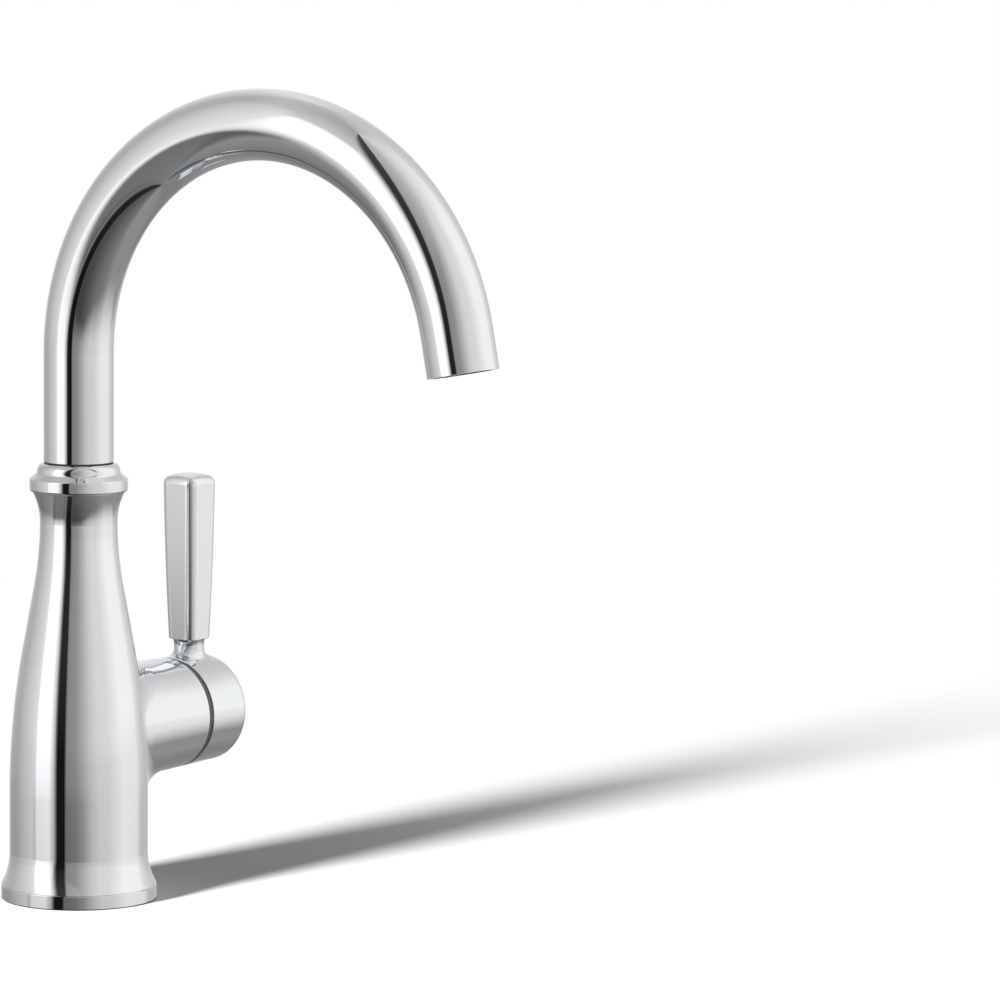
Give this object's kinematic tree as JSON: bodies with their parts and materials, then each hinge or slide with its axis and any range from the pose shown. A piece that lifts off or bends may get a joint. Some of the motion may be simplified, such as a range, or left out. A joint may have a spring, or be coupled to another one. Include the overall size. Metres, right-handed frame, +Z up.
{
  "type": "beverage faucet",
  "caption": "Single-hole chrome beverage faucet: bell-shaped body with a side lever valve, a swivel gooseneck spout and a threaded shank that clamps it to a deck.",
  "frame": {"origin": "centre of the base on the deck plane, under the gasket", "axes": "+Z up along the body, the spout points to -Y at rest, the valve barrel and lever are on +X"},
  "size_m": [0.0901, 0.1855, 0.351],
  "materials": {
    "chrome": "polished chrome plate",
    "raw_brass": "machined brass",
    "copper_tube": "drawn copper",
    "stainless": "satin stainless steel",
    "black_rubber": "matt black rubber",
    "black_acetal": "black acetal",
    "grey_acetal": "moulded grey acetal",
    "alumina": "lapped alumina ceramic"
  },
  "bodies": {
    "body": {"faucet_body": "chrome", "base_ring": "chrome", "base_gasket": "black_rubber", "mounting_shank": "raw_brass", "deck_seal_washer": "black_rubber", "deck_clamp_washer": "stainless", "mounting_nut": "raw_brass", "inlet_tube": "copper_tube", "inlet_fitting": "raw_brass", "valve_cage": "raw_brass", "valve_seal": "black_rubber", "valve_o_ring": "black_rubber", "fixed_disc": "alumina", "seam_ring": "black_acetal", "spout_collar": "chrome", "lower_bearing": "black_acetal", "upper_bearing": "black_acetal"},
    "handle": {"handle_hub": "chrome", "lever_bar": "chrome", "lever_stud": "stainless", "handle_insert": "black_acetal", "handle_set_screw": "stainless", "valve_stem": "raw_brass", "moving_disc": "alumina", "stem_o_rings": "black_rubber", "stem_clip": "stainless"},
    "spout": {"spout_tube": "chrome", "spout_shank": "raw_brass", "spout_o_rings": "black_rubber", "spout_wear_ring": "black_acetal", "aerator_housing": "chrome", "aerator_insert": "grey_acetal", "aerator_screen": "stainless", "aerator_seal": "black_rubber"}
  },
  "joints": [
    {"name": "lever_turn", "type": "hinge", "parent": "body", "child": "handle", "pos_m": [0.0561, 0, 0.0541], "axis": [1, 0, 0], "range_deg": [0, 90]},
    {"name": "spout_swivel", "type": "hinge", "parent": "body", "child": "spout", "pos_m": [0, 0, 0.139], "axis": [0, 0, 1], "continuous": true}
  ]
}
